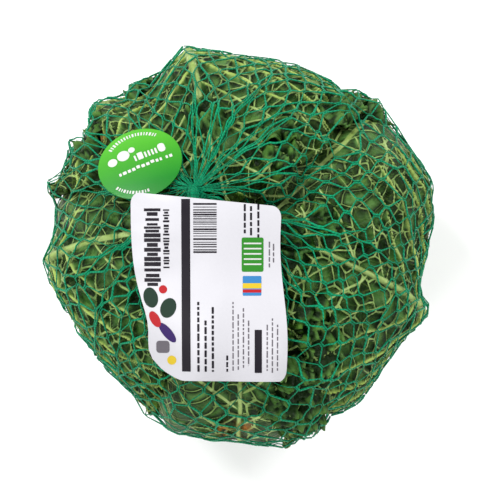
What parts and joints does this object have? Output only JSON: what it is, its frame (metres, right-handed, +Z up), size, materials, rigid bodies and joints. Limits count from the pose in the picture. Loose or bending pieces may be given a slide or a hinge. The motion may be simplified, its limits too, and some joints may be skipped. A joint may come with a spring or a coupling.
{
  "type": "savoy cabbage in a net bag",
  "caption": "Savoy cabbage head with crinkled, veined wrapper leaves, packed in a green knitted net bag closed by a clip, with a plain label and a round tag.",
  "frame": {"origin": "the point of the floor under the middle of the bag, seen from above", "axes": "+Z up from the stump through the head, +Y towards the side where the net is gathered, +X to the right seen from above"},
  "size_m": [0.1916, 0.2008, 0.166],
  "materials": {
    "leaf": "satin",
    "heart": "satin",
    "net": "satin",
    "clip": "satin",
    "label": "satin",
    "tag": "gloss"
  },
  "bodies": {
    "root": {"heart": "heart", "leaf_1": "leaf", "leaf_2": "leaf", "leaf_3": "leaf", "leaf_4": "leaf", "leaf_5": "leaf", "leaf_6": "leaf", "leaf_7": "leaf", "leaf_8": "leaf", "net": "net", "net_clip": "clip", "label": "label", "tag": "tag"}
  },
  "joints": []
}
